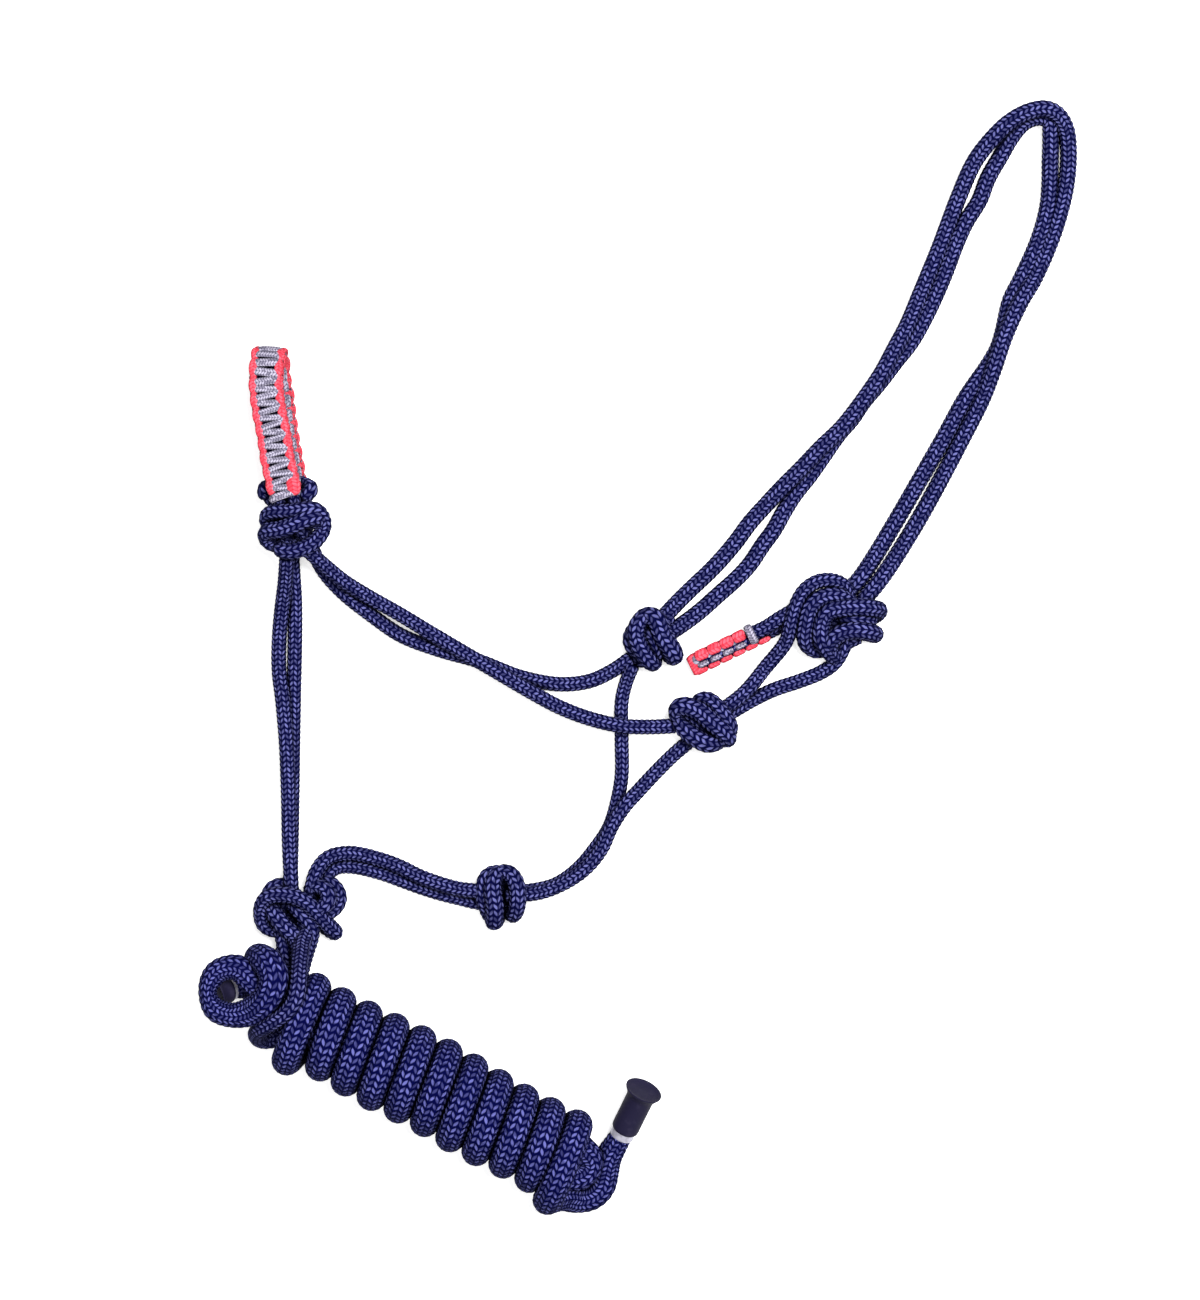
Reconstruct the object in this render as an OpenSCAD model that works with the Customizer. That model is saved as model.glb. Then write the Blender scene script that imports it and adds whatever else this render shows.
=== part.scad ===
// Rope halter with a coiled lead rope, laid flat. Millimetres, +Z up, the halter's
// noseband at the left (-X) and its crown at the upper right.

/* [Rope] */
// Diameter of the rope that the halter is tied from
rope_d = 7; // [6:0.5:7]
// Diameter of the lead rope
lead_d = 14; // [12:0.5:14]

/* [Noseband] */
// Width of the braided noseband
band_w = 16.4; // [16:0.2:18]
// Thickness of each leg of the noseband
band_t = 12.4; // [12:0.2:13]
// Diameter of the two core ropes inside the braid
core_d = 6.4; // [6:0.1:6.4]
// Radius of the noseband's fold, at the middle of its thickness
fold_r = 10; // [9:0.5:10]

/* [Knots] */
// Rope spacing in a knot's wraps
wrap_pitch = 7.5; // [7:0.1:8]
// Half thickness of a knot lying on a surface
knot_half_t = 10; // [9.5:0.1:10]

/* [Hank] */
// Turns of lead rope in the hank
hank_turns = 11; // [10:1:11]
// Spacing of the turns along the hank
hank_pitch = 14.1; // [14:0.1:14.4]
// Outer diameter of the hank
hank_d = 49; // [46:1:50]

/* [End caps] */
// Diameter of the cap's body
cap_d = 13.4; // [13:0.1:14]
// Diameter of the cap's flared rim
cap_rim_d = 17.8; // [16:0.1:18]
// Length of the cap on the rope's free end
cap_len = 24.5; // [22:0.5:26]
// Length of the cap inside the eye
core_cap_len = 9.5; // [9:0.5:12]
// Diameter of the silver ferrule behind the cap
ferrule_d = 11.8; // [11.6:0.1:12]
// Length of the free end's ferrule that shows
ferrule_len = 3.2; // [3:0.1:4]
// Length of the other ferrule that shows
core_ferrule_len = 1.2; // [1:0.1:2]

/* [Joint clearance] */
// Gap between a moving piece and the piece it swings against
gap = 0.5; // [0.3:0.1:0.8]

/* [Hidden] */
navy = "#26245c";
coral = "#ff5f66";
grey = "#a9a9bb";
black = "#322d44";
silver = "#c4c4d2";

tube_sides = 8;
lead_sides = 12;
hank_axis_z = hank_d / 2 + 0.2;

// Pivot of the noseband's swing, and the radius that the knots stay inside
nose_pivot = [-180.5, 33.5];
nose_r = 17;
// Line that the crown lifts about
crown_a = [16.5, -11, 4];
crown_b = [108, 10, 4];
crown_r = 5;
// Line that the tail lifts about, across the tail
tail_pivot = [52.5, -23.5, 8];
tail_dir = [-0.91, -0.415, 0];
tail_r = 5.8;
// Pivot of the lead rope's swing, and the radius that the knot's neck stays inside
loop_pivot = [-177, -166.5];
loop_r = 10;

// Routes of the halter's strands, from knot to knot
nose_fiador_far_route = [
  [-181, 19, 8], [-180.5, 5, 5], [-179.5, -12, 4], [-179.5, -31, 3.5], [-180, -55, 3.5],
  [-180.5, -84, 3.5], [-181, -118, 3.5], [-181.5, -147, 5]
];
nose_fiador_near_route = [
  [-181.5, 8, 24], [-183, -3, 16], [-185.5, -17, 8], [-187, -31, 4.5], [-187, -46, 5],
  [-185, -60, 8.5], [-183, -80, 11], [-182, -104, 11], [-181.5, -128, 11], [-180.5, -146, 13]
];
nose_cheek_far_route = [
  [-172, 16, 10], [-166, 3, 5], [-157, -7.5, 3.5], [-142, -19.5, 3.5], [-128, -29, 3.5],
  [-109.5, -36, 3.5], [-90, -41.5, 3.5], [-70.5, -49, 3.5], [-51.5, -52.5, 3.5], [-37, -51, 3.5],
  [-26, -46, 4], [-16.5, -39.5, 7]
];
nose_cheek_near_route = [
  [-172, 12, 25], [-165, 5.5, 19], [-155, -3, 13], [-144, -10, 8], [-129, -18.5, 7],
  [-114, -27.5, 10], [-94.5, -39, 11], [-80, -47.5, 11], [-65.5, -56, 10], [-51.5, -63.5, 9],
  [-37, -69, 9.5], [-21.5, -72.5, 11], [-8, -73, 10], [5, -72.5, 9]
];
throat_far_route = [
  [-16, -43, 8], [-19.5, -52, 4], [-21.5, -61, 3.5], [-21.5, -79.5, 3.5], [-21.5, -96.5, 3.5],
  [-23.5, -108.5, 3.5], [-27.5, -121.5, 3.5], [-34, -131.5, 3.5], [-43, -142, 3.5],
  [-54, -149.5, 3.5], [-69, -152.5, 6]
];
throat_near_route = [
  [11, -80, 8], [3, -87, 6], [-6, -96, 6], [-13.5, -104, 7.5], [-20, -111, 10.5],
  [-26.5, -121, 11], [-31.5, -132, 11], [-39.5, -141.5, 11], [-50, -148.5, 11],
  [-60.5, -152.5, 11], [-69, -153.5, 13]
];
chin_near_route = [
  [-170, -152, 14], [-168.5, -143, 13], [-163, -136, 10], [-152.5, -134, 7], [-138.5, -137, 6],
  [-128.5, -140.5, 7.5], [-119, -145, 9.5], [-109, -148.5, 11], [-99.5, -151, 11], [-90, -152, 12]
];
chin_far_route = [
  [-167.5, -151, 8.5], [-164.5, -145.5, 8], [-159.5, -141, 5.5], [-152, -140.5, 4],
  [-138.5, -143.5, 3.5], [-128.5, -147, 3.5], [-119, -150.5, 3.5], [-109.5, -153.5, 3.5],
  [-99.5, -156, 3.5], [-90, -158, 4.5]
];
tie_upper_route = [
  [28, -64, 11], [36, -58, 9.5], [41, -53, 8], [47.5, -45, 5], [54, -38, 5], [61, -31, 8],
  [66, -26, 10]
];
tie_lower_route = [
  [28, -68, 7], [35, -64, 4.5], [42, -60, 3.5], [52.5, -55, 3.5], [64.5, -51, 3.5],
  [75.5, -46.5, 4], [81.5, -42, 6], [84, -36, 8], [85, -29, 10]
];

// The crown's two strands, from the far cheek knot over the poll to the crown bend
crown_outer_route = [
  [-2, -21, 8], [3.5, -15, 5], [11.5, -7, 4], [23.5, 4.5, 3.5], [33.5, 16, 3.5],
  [40.5, 25.5, 3.5], [49.5, 35.5, 4], [57, 43.5, 7], [65.5, 52, 9.5], [74.5, 61.5, 10.8],
  [84, 70.5, 10.8], [90.5, 78.5, 10.8], [96, 86, 10.8], [103.5, 97, 10.8], [110, 109, 9],
  [116.5, 121, 6], [122.5, 135, 3.5], [127.5, 147, 3.5], [132, 158, 3.5], [136.5, 170, 3.5],
  [141, 182, 4], [149, 200, 5], [157, 210.5, 9], [165, 218, 12], [173.5, 222.5, 14],
  [182, 224, 14], [188, 221.5, 12], [192.5, 215, 9], [194, 205, 7], [193.5, 191, 5],
  [191, 178, 4], [186, 162, 3.5], [177.5, 143, 5], [171, 132.5, 9], [164, 118, 10.8],
  [161, 110, 10.8], [158.5, 102, 10], [153, 86, 4.5], [143, 66, 3.5], [132.5, 46, 3.5],
  [122, 27, 3.5], [110, 7.5, 4], [102.5, -3, 7], [96.5, -10, 10]
];
crown_inner_route = [
  [0, -28.5, 8], [6.5, -24.5, 5], [16, -17.5, 3.5], [25, -9.5, 3.5], [34, -1.5, 3.5],
  [40.5, 5.5, 3.5], [46.5, 14.5, 3.5], [52, 22, 3.5], [57, 31, 3.5], [62, 39, 3.5],
  [69.5, 48.5, 3.5], [76.5, 58.5, 3.5], [83.5, 68.5, 3.5], [90, 76, 3.5], [95, 83.5, 3.5],
  [103, 93, 3.5], [111, 103.5, 3.5], [118.5, 113, 3.5], [125, 124.5, 3.5], [130.5, 136, 3.5],
  [135.5, 148, 3.5], [140, 160, 3.5], [145, 171, 3.5], [151.5, 181.5, 3.5], [155.5, 192, 3.5],
  [161.5, 202.5, 3.5], [167, 212, 3.5], [172.5, 218.5, 5], [178.5, 221, 7], [184.5, 219.5, 8],
  [185.5, 211.5, 7], [185.5, 200, 5], [185.5, 190, 4], [184.5, 178, 3.5], [180, 162, 3.5],
  [171.5, 143, 3.5], [166.5, 133, 3.5], [163, 118, 3.5], [160.5, 110, 3.5], [156, 102, 3.5],
  [145, 86, 3.5], [134, 66, 3.5], [122.5, 46, 3.5], [111.5, 27, 3.5], [100, 8, 4], [93, -2, 7],
  [88, -9, 10]
];
tail_upper_route = [[68, -15, 14], [61, -18, 12], [54.5, -21, 9.5], [46, -25, 8], [41, -27.5, 8]];
tail_lower_route = [[68, -22, 10], [61, -24, 8], [55, -26, 6], [48, -29.5, 5], [42, -32, 5]];
tail_braid_route = [[42, -29.5, 5.5], [33, -33.5, 5], [23.5, -38, 5], [13.5, -43, 5]];

// Noseband: one leg's line, from the nose knot to the fold
band_leg = [[-184.5, 49, 28], [-186, 60, 27.5], [-187.5, 70, 27], [-189, 82, 27], [-190, 92, 27]];
band_fold_z = 17;

// Lead rope: through the fiador loop, into the eye and the hank, and its free end
eye_route = [
  [-173.5, -209, 28], [-186, -203, 33], [-196, -193, 34.5], [-204.5, -186.5, 34.5],
  [-213.5, -188.5, 35], [-218, -197.5, 36], [-214.5, -206, 36], [-206, -209, 36],
  [-196, -206.5, 38], [-188.5, -200, 43], [-185.5, -191, 44], [-188.5, -184.5, 40],
  [-193.5, -182.5, 31], [-194.5, -184.5, 20.5], [-189, -189.5, 14], [-181, -195.5, 13],
  [-174, -199, 14], [-168.5, -199, 17]
];
core_end_route = [
  [-173, -214, 24], [-180, -206.5, 20], [-187, -202.5, 19], [-194.5, -199.5, 18.5],
  [-202, -197, 19], [-208.5, -197.5, 21.5]
];
free_end_route = [
  [-50, -298, 15], [-43.5, -300, 9.5], [-36.5, -299.2, 7.8], [-31.5, -294.5, 7.6],
  [-29.8, -287.5, 8], [-28.3, -281, 9.5], [-25, -274.8, 11], [-21.5, -269, 12.5]
];
loop_route = [
  [-173, -178, 14], [-174.5, -183, 32], [-174.5, -189.5, 40], [-174.5, -196, 45],
  [-176, -202, 46], [-180, -207, 45], [-185.5, -211, 42], [-191.5, -214.5, 37],
  [-195, -217.5, 29], [-196, -221, 20], [-194, -223.5, 13.5], [-190, -223.5, 11],
  [-184.5, -221, 9], [-183, -214.5, 5], [-184.5, -205, 4], [-186.5, -195.5, 4],
  [-186.5, -186.5, 6.5], [-182, -178, 12]
];
hank_start = [-176.5, -212];
hank_heading = -27.9;
free_cap_dir = [10, 22, 11];
core_cap_dir = [-7, -2.5, 6];

function unit(v) = v / norm(v);
function step(p, i) = unit(p[i + 1] - p[i]);
function tangent(p, i) =
  i == 0 ? step(p, 0) :
  i == len(p) - 1 ? step(p, i - 1) :
  unit(step(p, i - 1) + step(p, i));
function square_to(v, t) = unit(v - (v * t) * t);
// The up direction at each point, turned as little as the route allows
function ups(p, up, i = 0) =
  i == len(p) ? [] :
  let (here = square_to(up, tangent(p, i)))
  concat([here], ups(p, here, i + 1));
function ring(d, sides, at = [0, 0]) =
  [for (i = [0:sides - 1]) let (a = (i + 0.5) * 360 / sides) at + d / 2 * [cos(a), sin(a)]];
// An outline mirrored left to right, still drawn the same way round
function flipped(outline) =
  [for (i = [len(outline) - 1:-1:0]) [-outline[i][0], outline[i][1]]];

// A closed solid of one outline carried along a route
module sweep(outline, route, up = [0, 0, 1]) {
  normals = ups(route, up);
  k = len(outline);
  last = (len(route) - 1) * k;
  points = [
    for (i = [0:len(route) - 1])
      let (side = cross(normals[i], tangent(route, i)))
      for (q = outline) route[i] + q[0] * side + q[1] * normals[i]
  ];
  walls = [
    for (i = [0:k:last - k])
      for (j = [0:k - 1])
        [i + j, i + k + j, i + k + (j + 1) % k, i + (j + 1) % k]
  ];
  ends = [[for (j = [0:k - 1]) j], [for (j = [k - 1:-1:0]) last + j]];
  polyhedron(points, concat(walls, ends));
}

module rope(route) {
  sweep(ring(rope_d, tube_sides), route);
}

module lead_rope(route) {
  sweep(ring(lead_d, lead_sides), route);
}

// A cylinder from one point to another
module rod(from, to, d) {
  v = to - from;
  translate(from)
    rotate([0, acos(v[2] / norm(v)), atan2(v[1], v[0])])
      cylinder(h = norm(v), d = d, $fn = 48);
}

// A knot: wraps of rope round a filled middle, its strands running along `heading`
module knot(at, heading, half_w, turns) {
  along = [cos(heading), sin(heading), 0];
  across = [-sin(heading), cos(heading), 0];
  reach = half_w - rope_d / 2;
  rise = knot_half_t - rope_d / 2;
  points_per_turn = 10;
  count = round(turns * points_per_turn);
  sweep(ring(rope_d, tube_sides), [
    for (i = [0:count])
      let (s = i * 360 / points_per_turn, go = (i / count - 0.5) * turns * wrap_pitch)
      at + go * along + reach * cos(s) * across + [0, 0, rise * sin(s)]
  ], along);
  hull()
    for (end = [-1, 1])
      translate(at + end * (reach - rise) * across)
        scale(rise + 1)
          sphere(r = 1, $fn = 16);
  rod(at - (turns * wrap_pitch / 2) * along, at + (turns * wrap_pitch / 2) * along, 2 * rise);
}

// The upright drum that swinging ends stay outside of
module drum(pivot, r) {
  translate([pivot[0], pivot[1], -10])
    cylinder(h = 100, r = r, $fn = 96);
}

module nose_knot_near() {
  color(navy) {
    knot([-177, 20, 30], 90, 16, 2.4);
    intersection() {
      union()
        for (side = [-1, 1])
          rod([-180 + 3.4 * side, 26, 29], [-185 + 3.4 * side, 52, 28], core_d);
      drum(nose_pivot, nose_r);
    }
  }
}

module nose_knot_far() {
  color(navy) {
    knot([-182.5, 33, knot_half_t - 0.2], 90, 14.5, 1.6);
    intersection() {
      union()
        for (side = [-1, 1])
          rod([-182.5 + 3.4 * side, 36, 8], [-185 + 3.4 * side, 52, 7], core_d);
      drum(nose_pivot, nose_r);
    }
  }
}

module cheek_knot_near() {
  color(navy) knot([17.5, -70.5, knot_half_t], 40, 14.5, 2.5);
}

module cheek_knot_far() {
  color(navy) knot([-6.5, -30, knot_half_t], 45, 13, 2.2);
}

module fiador_knot() {
  color(navy) knot([-176, -157.5, knot_half_t + 2], 90, 21, 2.8);
}

module throat_knot() {
  color(navy) knot([-80, -154.5, knot_half_t], 0, 14.5, 2.2);
}

module crown_bend() {
  color(navy) knot([80, -18.5, knot_half_t + 2], 20, 17, 3.6);
}

module nose_fiador_near() {
  color(navy) rope(nose_fiador_near_route);
}

module nose_fiador_far() {
  color(navy) rope(nose_fiador_far_route);
}

module nose_cheek_near() {
  color(navy) rope(nose_cheek_near_route);
}

module nose_cheek_far() {
  color(navy) rope(nose_cheek_far_route);
}

module throat_near() {
  color(navy) rope(throat_near_route);
}

module throat_far() {
  color(navy) rope(throat_far_route);
}

module chin_near() {
  color(navy) rope(chin_near_route);
}

module chin_far() {
  color(navy) rope(chin_far_route);
}

module tie_strand_upper() {
  color(navy) rope(tie_upper_route);
}

module tie_strand_lower() {
  color(navy) rope(tie_lower_route);
}

// The noseband's line: up the near leg, over the fold and down the far leg
function band_line() =
  let (top = band_leg[len(band_leg) - 1])
  concat(
    [for (i = [0:len(band_leg) - 2]) band_leg[i]],
    [for (a = [0:22.5:180]) [top[0], top[1] + fold_r * sin(a), band_fold_z + fold_r * cos(a)]],
    [for (i = [len(band_leg) - 2:-1:0]) [band_leg[i][0], band_leg[i][1], band_fold_z - fold_r]]
  );

module band_piece(outline) {
  difference() {
    sweep(outline, band_line());
    drum(nose_pivot, nose_r + gap);
  }
}

module noseband_core() {
  color(navy)
    for (side = [-1, 1])
      band_piece(ring(core_d, tube_sides, [side * 3.4, 0]));
}

module noseband_grey_cord() {
  inner = core_d / 2 + 0.1;
  outer = band_t / 2;
  side = 6.6;
  color(grey)
    for (face = [[inner, outer], [-outer, -inner]])
      band_piece([[-side, face[0]], [side, face[0]], [side, face[1]], [-side, face[1]]]);
}

module noseband_coral_cord() {
  inner = 6.8;
  edge = band_w / 2;
  top = band_t / 2 - 0.3;
  outline = [
    [inner, -top], [edge - 0.6, -top], [edge, -4], [edge, 4], [edge - 0.6, top], [inner, top]
  ];
  color(coral) {
    band_piece(outline);
    band_piece(flipped(outline));
  }
}

// The bar that lies round the crown's lifting line
module crown_bar(r) {
  rod(crown_a + 0.25 * (crown_a - crown_b), crown_b + 0.25 * (crown_b - crown_a), 2 * r);
}

// Half space on the knots' side of the crown's lifting line
module knot_side() {
  heading = atan2(crown_b[1] - crown_a[1], crown_b[0] - crown_a[0]);
  translate(crown_a)
    rotate([0, 0, heading])
      translate([-50, -60, -20])
        cube([200, 60, 60]);
}

module crown_strand(route) {
  difference() {
    rope(route);
    knot_side();
    crown_bar(crown_r + gap);
  }
}

module crown_strand_outer() {
  color(navy) crown_strand(crown_outer_route);
}

module crown_strand_inner() {
  color(navy) crown_strand(crown_inner_route);
}

// The short ends of the crown's strands that the two knots hold
module crown_stubs() {
  color(navy)
    for (route = [crown_outer_route, crown_inner_route])
      intersection() {
        rope(route);
        union() {
          knot_side();
          crown_bar(crown_r);
        }
      }
}

// Everything on the crown bend's side of the tail's lifting line
module bend_side() {
  translate(tail_pivot)
    rotate([0, 0, atan2(tail_dir[1], tail_dir[0])])
      translate([-60, -30, -20])
        cube([60, 60, 60]);
}

module tail_bar(r) {
  across = [-tail_dir[1], tail_dir[0], 0];
  rod(tail_pivot - 30 * across, tail_pivot + 30 * across, 2 * r);
}

module tail_strands() {
  color(navy)
    difference() {
      union() {
        rope(tail_upper_route);
        rope(tail_lower_route);
      }
      bend_side();
      tail_bar(tail_r + gap);
    }
}

module tail_stubs() {
  color(navy)
    intersection() {
      union() {
        rope(tail_upper_route);
        rope(tail_lower_route);
      }
      union() {
        bend_side();
        tail_bar(tail_r);
      }
    }
}

module tail_braid() {
  color(coral)
    sweep([[-3.4, -4.8], [3.4, -4.8], [4.8, -3.2], [4.8, 3.2], [3.4, 4.8], [-3.4, 4.8],
           [-4.8, 3.2], [-4.8, -3.2]], tail_braid_route);
}

module fiador_loop() {
  color(navy)
    difference() {
      rope(loop_route);
      drum(loop_pivot, loop_r + gap);
    }
}

// The loop's two strands where the fiador knot holds them
module fiador_neck() {
  color(navy)
    intersection() {
      union()
        for (side = [-1, 1])
          rod([-177 + 4 * side, -168, 14], [-177 + 4 * side, -178, 14], rope_d);
      drum(loop_pivot, loop_r);
    }
}

module lead_eye() {
  color(navy) lead_rope(eye_route);
}

module lead_hank() {
  length = hank_turns * hank_pitch;
  shoulder = 5;
  color(navy)
    translate([hank_start[0], hank_start[1], hank_axis_z])
      rotate([0, 90, hank_heading])
        rotate_extrude($fn = 96)
          polygon([[0, 0], [hank_d / 2 - shoulder, 0], [hank_d / 2, shoulder],
                   [hank_d / 2, length - shoulder], [hank_d / 2 - shoulder, length], [0, length]]);
}

module lead_core_end() {
  color(navy) lead_rope(core_end_route);
}

module lead_free_end() {
  color(navy) lead_rope(free_end_route);
}

// Stands whatever it draws along +Z at the end of a route, pointing along `dir`
module on_end(at, dir) {
  translate(at)
    rotate([0, acos(dir[2] / norm(dir)), atan2(dir[1], dir[0])])
      children();
}

module cap(length, start) {
  translate([0, 0, start])
    rotate_extrude($fn = 64)
      polygon([[0, 0], [cap_d / 2 - 0.8, 0], [cap_d / 2, 1], [cap_d / 2, length - 5],
               [cap_rim_d / 2, length - 1], [cap_rim_d / 2 - 0.4, length], [0, length]]);
}

module ferrule(length) {
  cylinder(h = length, d = ferrule_d, $fn = 64);
}

module end_caps() {
  color(black) {
    on_end(core_end_route[len(core_end_route) - 1], core_cap_dir)
      cap(core_cap_len, core_ferrule_len);
    on_end(free_end_route[len(free_end_route) - 1], free_cap_dir) cap(cap_len, ferrule_len);
  }
}

module end_ferrules() {
  color(silver) {
    on_end(core_end_route[len(core_end_route) - 1], core_cap_dir) ferrule(core_ferrule_len);
    on_end(free_end_route[len(free_end_route) - 1], free_cap_dir) ferrule(ferrule_len);
  }
}

nose_knot_near();
nose_knot_far();
cheek_knot_near();
cheek_knot_far();
fiador_knot();
throat_knot();
crown_bend();
nose_fiador_near();
nose_fiador_far();
nose_cheek_near();
nose_cheek_far();
throat_near();
throat_far();
chin_near();
chin_far();
tie_strand_upper();
tie_strand_lower();
noseband_core();
noseband_grey_cord();
noseband_coral_cord();
crown_strand_outer();
crown_strand_inner();
crown_stubs();
tail_strands();
tail_braid();
tail_stubs();
fiador_loop();
fiador_neck();
lead_eye();
lead_hank();
lead_core_end();
lead_free_end();
end_caps();
end_ferrules();
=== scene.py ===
import math

import bpy
import numpy as np
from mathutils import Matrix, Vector


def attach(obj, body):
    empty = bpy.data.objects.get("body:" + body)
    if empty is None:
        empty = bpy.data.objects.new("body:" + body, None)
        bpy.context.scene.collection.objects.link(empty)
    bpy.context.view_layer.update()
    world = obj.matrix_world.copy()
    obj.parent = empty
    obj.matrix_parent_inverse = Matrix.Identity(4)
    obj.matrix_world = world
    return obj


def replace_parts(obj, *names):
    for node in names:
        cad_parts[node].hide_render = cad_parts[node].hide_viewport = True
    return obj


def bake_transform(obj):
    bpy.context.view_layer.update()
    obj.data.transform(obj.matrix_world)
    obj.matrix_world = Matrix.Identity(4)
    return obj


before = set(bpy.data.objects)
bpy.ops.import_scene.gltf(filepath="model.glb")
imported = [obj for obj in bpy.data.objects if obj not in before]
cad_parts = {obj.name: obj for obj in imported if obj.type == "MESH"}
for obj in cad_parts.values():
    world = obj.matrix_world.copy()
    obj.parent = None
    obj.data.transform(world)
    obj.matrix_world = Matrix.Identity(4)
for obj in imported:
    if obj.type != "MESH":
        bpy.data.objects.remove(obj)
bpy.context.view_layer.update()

# Lengths are in millimetres in the part's own frame, and become metres when a mesh is made
MM = 0.001
# Diameters of the halter's rope: most of it, and the stretches that are fuller or thinner
ROPE_D, CROWN_D, LOOP_D, THIN_D = 7.1, 8.1, 8.2, 6.8
CORE_D = 6.4
LEAD_D = 14.0
# Columns of yarn round each rope or cord, and how long a row of its yarns is
ROPE_COLUMNS, ROPE_LAY = 12, 2.6
LEAD_COLUMNS, LEAD_LAY = 18, 2.6
CORD_COLUMNS, CORD_LAY = 8, 1.3
# How far the yarns stand out of each
ROPE_RELIEF, LEAD_RELIEF, CORD_RELIEF = 0.55, 0.75, 0.06


# ---------------------------------------------------------------- lines and tubes
def unit(v):
    v = np.asarray(v, float)
    return v / np.linalg.norm(v)


def resample(line, step):
    line = np.asarray(line, float)
    along = np.concatenate([[0], np.cumsum(np.linalg.norm(np.diff(line, axis=0), axis=1))])
    at = np.linspace(0, along[-1], max(4, round(along[-1] / step)) + 1)
    return np.stack([np.interp(at, along, line[:, k]) for k in range(3)], axis=1)


def spline(points, step, soften=0):
    """A smooth line through the points, with a point every step."""
    p = np.array(points, float)
    p = np.vstack([2 * p[0] - p[1], p, 2 * p[-1] - p[-2]])
    pieces = []
    for a, b, c, d in zip(p, p[1:], p[2:], p[3:]):
        t1 = np.linalg.norm(b - a) ** 0.5
        t2 = t1 + np.linalg.norm(c - b) ** 0.5
        t3 = t2 + np.linalg.norm(d - c) ** 0.5
        count = max(4, int(2 * np.linalg.norm(c - b)))
        t = np.linspace(t1, t2, count, endpoint=False)[:, None]
        ab = (t1 - t) / t1 * a + t / t1 * b
        bc = (t2 - t) / (t2 - t1) * b + (t - t1) / (t2 - t1) * c
        cd = (t3 - t) / (t3 - t2) * c + (t - t2) / (t3 - t2) * d
        abc = (t2 - t) / t2 * ab + t / t2 * bc
        bcd = (t3 - t) / (t3 - t1) * bc + (t - t1) / (t3 - t1) * cd
        pieces.append((t2 - t) / (t2 - t1) * abc + (t - t1) / (t2 - t1) * bcd)
    line = resample(np.vstack(pieces + [p[-2:-1]]), step)
    for _ in range(soften):
        line[1:-1] = (line[:-2] + 2 * line[1:-1] + line[2:]) / 4
    return resample(line, step) if soften else line


def frames(line, up):
    """Normals and sides along a line, turned as little as the line allows."""
    tangents = np.gradient(line, axis=0)
    tangents /= np.linalg.norm(tangents, axis=1)[:, None]
    normals = np.empty_like(line)
    n = np.asarray(up, float)
    for i, t in enumerate(tangents):
        n = unit(n - (n @ t) * t)
        normals[i] = n
    return normals, np.cross(tangents, normals)


# How much of a row a yarn rises over its column, and how blunt its two ends are
SLANT, BLUNT = 0.62, 0.45


def braid(x, y):
    """Height of a braid's yarns, 0 to 1: x counts columns round it, y counts rows along it."""
    lean = 1 - 2 * (np.floor(x) % 2)
    row = y + lean * SLANT * (x % 1 - 0.5)
    return np.sin(np.pi * (row % 1)) * np.sin(np.pi * (x % 1)) ** BLUNT


# The share of its size that a tube's last ring keeps, and the ring before it, to round the end
END_CLOSE = 0.55, 0.87


def tube(line, wide, high, columns, rows, relief=0.0, up=(0, 0, 1)):
    """A closed tube, whose half sizes across and along its normals are wide and high.
    It has three points to a column of yarn, and as many rings to a row as rows says."""
    line = np.asarray(line, float)
    rings, sides = len(line), 3 * columns
    normals, across = frames(line, up)
    x = (0.5 + np.arange(sides)) / 3
    y = np.arange(rings) / rows
    lift = relief * (braid(*np.meshgrid(x, y)) - 0.55)
    close = np.ones(rings)
    close[[0, -1]], close[[1, -2]] = END_CLOSE
    angle = 2 * np.pi * x / columns
    w = (np.broadcast_to(wide, rings)[:, None] + lift) * close[:, None] * np.cos(angle)
    h = (np.broadcast_to(high, rings)[:, None] + lift) * close[:, None] * np.sin(angle)
    verts = line[:, None] + w[..., None] * across[:, None] + h[..., None] * normals[:, None]
    i, j = np.meshgrid(np.arange(rings - 1), np.arange(sides), indexing="ij")
    k = (j + 1) % sides
    quads = np.stack([i * sides + j, i * sides + k, (i + 1) * sides + k, (i + 1) * sides + j], -1)
    u0, v0 = x[j], y[i]
    u1, v1 = u0 + 1 / 3, v0 + 1 / rows
    uv = np.stack([u0, v0, u1, v0, u1, v1, u0, v1], -1)
    ends = [list(range(sides))[::-1], list(range((rings - 1) * sides, rings * sides))]
    return verts.reshape(-1, 3), quads.reshape(-1, 4), ends, uv.reshape(-1, 2)


def cord(line, wide, thick, up, relief=CORD_RELIEF):
    """A flat cord, whose half sizes are wide and thick, and wide may change along it."""
    line = resample(line, CORD_LAY / 3)
    if np.ndim(wide):
        wide = np.interp(np.linspace(0, 1, len(line)), np.linspace(0, 1, len(wide)), wide)
    return tube(line, wide, thick, CORD_COLUMNS, 3, relief, up)


def mesh_piece(name, verts, faces, uv, slot):
    me = bpy.data.meshes.new(name)
    me.from_pydata((np.asarray(verts) * MM).tolist(), [], faces)
    layer = me.uv_layers.new(name="braid")
    layer.data.foreach_set("uv", np.asarray(uv, np.float32).ravel())
    me.polygons.foreach_set("use_smooth", [True] * len(me.polygons))
    me.materials.append(material(slot))
    me.update()
    obj = bpy.data.objects.new(name, me)
    bpy.context.scene.collection.objects.link(obj)
    return obj


def tubes_piece(name, tubes, slot):
    """Several tubes as one piece."""
    verts, faces, uvs, base = [], [], [], 0
    for v, quads, ends, uv in tubes:
        faces += (quads + base).tolist() + [[base + n for n in end] for end in ends]
        uvs += [uv, np.zeros((sum(len(end) for end in ends), 2))]
        verts.append(v)
        base += len(v)
    return mesh_piece(name, np.vstack(verts), faces, np.vstack(uvs), slot)


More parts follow.
